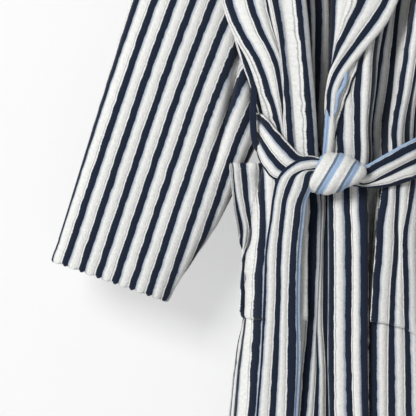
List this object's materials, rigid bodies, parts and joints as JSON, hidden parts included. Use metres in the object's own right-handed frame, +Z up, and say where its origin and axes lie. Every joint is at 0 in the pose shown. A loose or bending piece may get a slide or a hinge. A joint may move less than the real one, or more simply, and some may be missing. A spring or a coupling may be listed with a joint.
{
  "type": "bathrobe",
  "caption": "Striped terry bathrobe with a shawl collar, wide sleeves, patch pockets and a knotted cloth belt, hanging from its neck loop.",
  "frame": {"origin": "underside of the hanging loop's crown, where the hook carries the robe", "axes": "+Z up, +X towards the wearer's left, front faces -Y"},
  "size_m": [0.93, 0.235, 1.2],
  "materials": {
    "striped_terry": "soft velour terry, off-white with navy stripes and pale blue lines",
    "belt_cloth": "soft velour terry belt, off-white with navy and pale blue stripes",
    "navy_tape": "folded navy cloth tape, matt"
  },
  "bodies": {
    "robe": {"back_panel": "striped_terry", "right_front_panel": "striped_terry", "left_front_panel": "striped_terry", "right_collar": "striped_terry", "left_collar": "striped_terry", "right_back_collar": "striped_terry", "left_back_collar": "striped_terry", "right_pocket": "striped_terry", "left_pocket": "striped_terry", "belt_waist": "belt_cloth", "belt_knot": "belt_cloth", "right_belt_loop": "navy_tape", "left_belt_loop": "navy_tape", "hanging_loop": "navy_tape"},
    "right_sleeve": {"right_sleeve": "striped_terry"},
    "left_sleeve": {"left_sleeve": "striped_terry"},
    "front_tail": {"belt_front_tail": "belt_cloth"},
    "rear_tail": {"belt_rear_tail": "belt_cloth"}
  },
  "joints": [
    {"name": "right_sleeve_raise", "type": "hinge", "parent": "robe", "child": "right_sleeve", "pos_m": [-0.227, -0.05, -0.04], "axis": [0, 1, 0], "range_deg": [0, 50]},
    {"name": "left_sleeve_raise", "type": "hinge", "parent": "robe", "child": "left_sleeve", "pos_m": [0.227, -0.05, -0.04], "axis": [0, -1, 0], "range_deg": [0, 50]},
    {"name": "front_tail_swing", "type": "hinge", "parent": "robe", "child": "front_tail", "pos_m": [-0.082, -0.153, -0.537], "axis": [-1, 0, 0], "range_deg": [0, 50]},
    {"name": "rear_tail_swing", "type": "hinge", "parent": "robe", "child": "rear_tail", "pos_m": [-0.082, -0.153, -0.537], "axis": [-1, 0, 0], "range_deg": [0, 50]}
  ],
  "couplings": [
    {"joint": "rear_tail_swing", "follows": "front_tail_swing", "ratio": 1}
  ]
}
